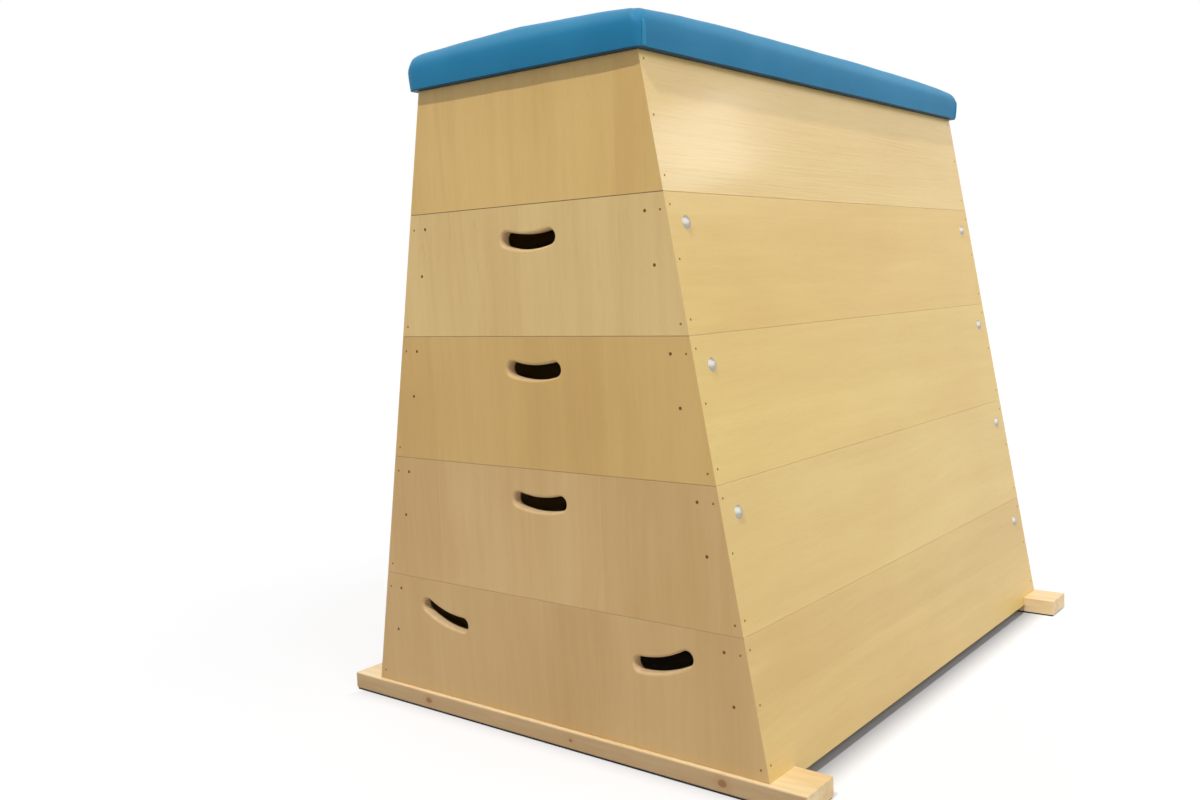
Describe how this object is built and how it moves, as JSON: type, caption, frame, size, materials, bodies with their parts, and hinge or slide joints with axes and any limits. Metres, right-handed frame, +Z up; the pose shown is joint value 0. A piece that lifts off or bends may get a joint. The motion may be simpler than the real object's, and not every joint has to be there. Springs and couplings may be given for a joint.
{
  "type": "vaulting box",
  "caption": "Stacked wooden vaulting box: tapered nailed plywood sections with hand holes lift off one another, on two skids, under a padded vinyl top.",
  "frame": {"origin": "on the floor, under the middle of the box", "axes": "+X to the right across the width, +Y along the length from the front end to the rear end, +Z up"},
  "size_m": [0.824, 1.03, 0.99],
  "materials": {
    "end_plywood": "satin",
    "side_plywood": "satin",
    "post_wood": "matte",
    "skid_pine": "satin",
    "deck_plywood": "matte",
    "grip_rubber": "matte",
    "foam": "matte",
    "blue_vinyl": "satin",
    "zinc_steel": "satin",
    "bright_steel": "satin"
  },
  "bodies": {
    "bottom_section": {"bottom_section_corner_nails": "bright_steel", "bottom_section_corner_posts": "post_wood", "bottom_section_front_panel": "end_plywood", "bottom_section_left_panel": "side_plywood", "bottom_section_post_bolts": "zinc_steel", "bottom_section_post_nuts": "zinc_steel", "bottom_section_post_screws": "bright_steel", "bottom_section_post_washers": "zinc_steel", "bottom_section_rear_panel": "end_plywood", "bottom_section_right_panel": "side_plywood", "front_skid": "skid_pine", "front_skid_rubber": "grip_rubber", "rear_skid": "skid_pine", "rear_skid_rubber": "grip_rubber", "skid_screws": "bright_steel"},
    "second_section": {"second_section_corner_nails": "bright_steel", "second_section_corner_posts": "post_wood", "second_section_front_panel": "end_plywood", "second_section_left_panel": "side_plywood", "second_section_post_bolts": "zinc_steel", "second_section_post_nuts": "zinc_steel", "second_section_post_screws": "bright_steel", "second_section_post_washers": "zinc_steel", "second_section_rear_panel": "end_plywood", "second_section_right_panel": "side_plywood"},
    "third_section": {"third_section_corner_nails": "bright_steel", "third_section_corner_posts": "post_wood", "third_section_front_panel": "end_plywood", "third_section_left_panel": "side_plywood", "third_section_post_bolts": "zinc_steel", "third_section_post_nuts": "zinc_steel", "third_section_post_screws": "bright_steel", "third_section_post_washers": "zinc_steel", "third_section_rear_panel": "end_plywood", "third_section_right_panel": "side_plywood"},
    "fourth_section": {"fourth_section_corner_nails": "bright_steel", "fourth_section_corner_posts": "post_wood", "fourth_section_front_panel": "end_plywood", "fourth_section_left_panel": "side_plywood", "fourth_section_post_bolts": "zinc_steel", "fourth_section_post_nuts": "zinc_steel", "fourth_section_post_screws": "bright_steel", "fourth_section_post_washers": "zinc_steel", "fourth_section_rear_panel": "end_plywood", "fourth_section_right_panel": "side_plywood"},
    "top_section": {"top_section_corner_blocks": "post_wood", "top_section_corner_nails": "bright_steel", "top_section_front_panel": "end_plywood", "top_section_left_panel": "side_plywood", "top_section_rear_panel": "end_plywood", "top_section_right_panel": "side_plywood", "cover_staples": "bright_steel", "deck_battens": "post_wood", "deck_board": "deck_plywood", "deck_screws": "bright_steel", "pad_cover": "blue_vinyl", "pad_foam": "foam"}
  },
  "joints": [
    {"name": "second_section_lift", "type": "slide", "parent": "bottom_section", "child": "second_section", "axis": [0, 0, 1], "range_m": [0, 0.2]},
    {"name": "third_section_lift", "type": "slide", "parent": "second_section", "child": "third_section", "axis": [0, 0, 1], "range_m": [0, 0.2]},
    {"name": "fourth_section_lift", "type": "slide", "parent": "third_section", "child": "fourth_section", "axis": [0, 0, 1], "range_m": [0, 0.2]},
    {"name": "top_section_lift", "type": "slide", "parent": "fourth_section", "child": "top_section", "axis": [0, 0, 1], "range_m": [0, 0.2]}
  ]
}
